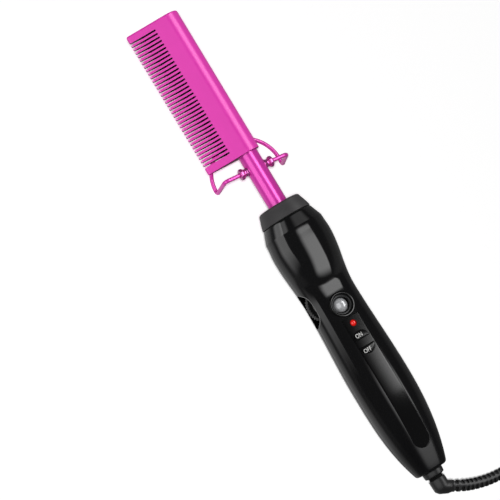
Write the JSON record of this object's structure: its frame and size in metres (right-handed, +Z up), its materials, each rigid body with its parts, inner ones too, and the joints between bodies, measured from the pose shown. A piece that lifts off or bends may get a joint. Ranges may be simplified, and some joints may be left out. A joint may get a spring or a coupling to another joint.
{
  "type": "electric hot comb",
  "caption": "Corded electric hot comb: a heated toothed metal head on a stem with a fold-out wire stand, and a gloss black handle with wheel, window, buttons and swivel cord.",
  "frame": {"origin": "the middle of the comb's length and width without its cord, on the surface that it rests on", "axes": "+X along the heating stem towards the comb's tip, +Y towards the tooth tips, +Z up, out of the side with the buttons"},
  "size_m": [0.4176, 0.1307, 0.0382],
  "materials": {
    "pink_aluminium": "satin anodised",
    "pink_steel": "glossy metallic coat",
    "bright_steel": "brushed",
    "ceramic": "glazed white",
    "lead_sleeve": "woven sleeve",
    "phenolic": "moulded",
    "grey_plastic": "fine matte grain",
    "gloss_black": "high gloss",
    "dark_steel": "blackened",
    "strip_black": "gloss inlay",
    "clear_dome": "clear domed lens",
    "wheel_black": "knurled",
    "disc_white": "printed plain numbers",
    "blue_plastic": "moulded",
    "lamp_red": "lit red lens",
    "button_black": "gloss with white words",
    "board_green": "solder resist",
    "yellow_plastic": "moulded",
    "chip_black": "moulded",
    "ivory_plastic": "moulded",
    "contact_brass": "bare",
    "grey_black_plastic": "semi-matte",
    "cord_rubber": "semi-matte",
    "tie_plastic": "ribbed",
    "plug_rubber": "semi-matte",
    "pin_nickel": "nickel plated"
  },
  "bodies": {
    "comb": {"comb_head": "pink_aluminium", "tip_plug": "pink_aluminium", "heater_cartridge": "bright_steel", "thermistor": "ceramic", "thermal_fuse": "ceramic", "heater_leads": "lead_sleeve", "stem_tube": "pink_steel", "stem_anchor": "phenolic", "collar": "grey_plastic", "stand_bushes": "pink_steel", "front_shell": "gloss_black", "rear_shell": "gloss_black", "shell_screws": "dark_steel", "control_strip": "strip_black", "window_bezel": "gloss_black", "window_dome": "clear_dome", "potentiometer": "blue_plastic", "status_lamp": "lamp_red", "tact_switches": "bright_steel", "button_board": "board_green", "board_screws": "dark_steel", "main_board": "board_green", "film_capacitor": "yellow_plastic", "smoothing_capacitor": "blue_plastic", "triac": "chip_black", "controller_chip": "chip_black", "mains_fuse": "ceramic", "terminal_block": "ivory_plastic", "board_leads": "lead_sleeve", "contact_block": "ivory_plastic", "contact_springs": "contact_brass", "mains_leads": "lead_sleeve", "swivel_socket": "grey_black_plastic"},
    "stand": {"stand_wire": "pink_steel"},
    "wheel": {"temperature_wheel": "wheel_black", "number_disc": "disc_white"},
    "on_key": {"on_button": "button_black"},
    "off_key": {"off_button": "button_black"},
    "swivel": {"contact_rings": "contact_brass", "cord_elbow": "grey_black_plastic", "strain_relief": "cord_rubber", "power_cord": "cord_rubber", "cord_coil": "cord_rubber", "cord_tie": "tie_plastic", "plug_body": "plug_rubber", "plug_pins": "pin_nickel"}
  },
  "joints": [
    {"name": "stand_swing", "type": "hinge", "parent": "comb", "child": "stand", "pos_m": [0.05781, -0.00186, 0.0212], "axis": [0.0785, 0.9969, 0], "range_deg": [-22, 98]},
    {"name": "temperature_dial", "type": "hinge", "parent": "comb", "child": "wheel", "pos_m": [-0.02959, 0.00374, 0.0212], "axis": [0, 0, 1], "range_deg": [-135, 135]},
    {"name": "on_press", "type": "slide", "parent": "comb", "child": "on_key", "axis": [0, 0, -1], "range_m": [0, 0.0008], "stiffness_N_per_m": 600, "springref_m": -0.0004},
    {"name": "off_press", "type": "slide", "parent": "comb", "child": "off_key", "axis": [0, 0, -1], "range_m": [0, 0.0008], "stiffness_N_per_m": 600, "springref_m": -0.0004},
    {"name": "cord_swivel", "type": "hinge", "parent": "comb", "child": "swivel", "pos_m": [-0.14639, -0.00186, 0.0107], "axis": [1, 0, 0], "continuous": true}
  ]
}
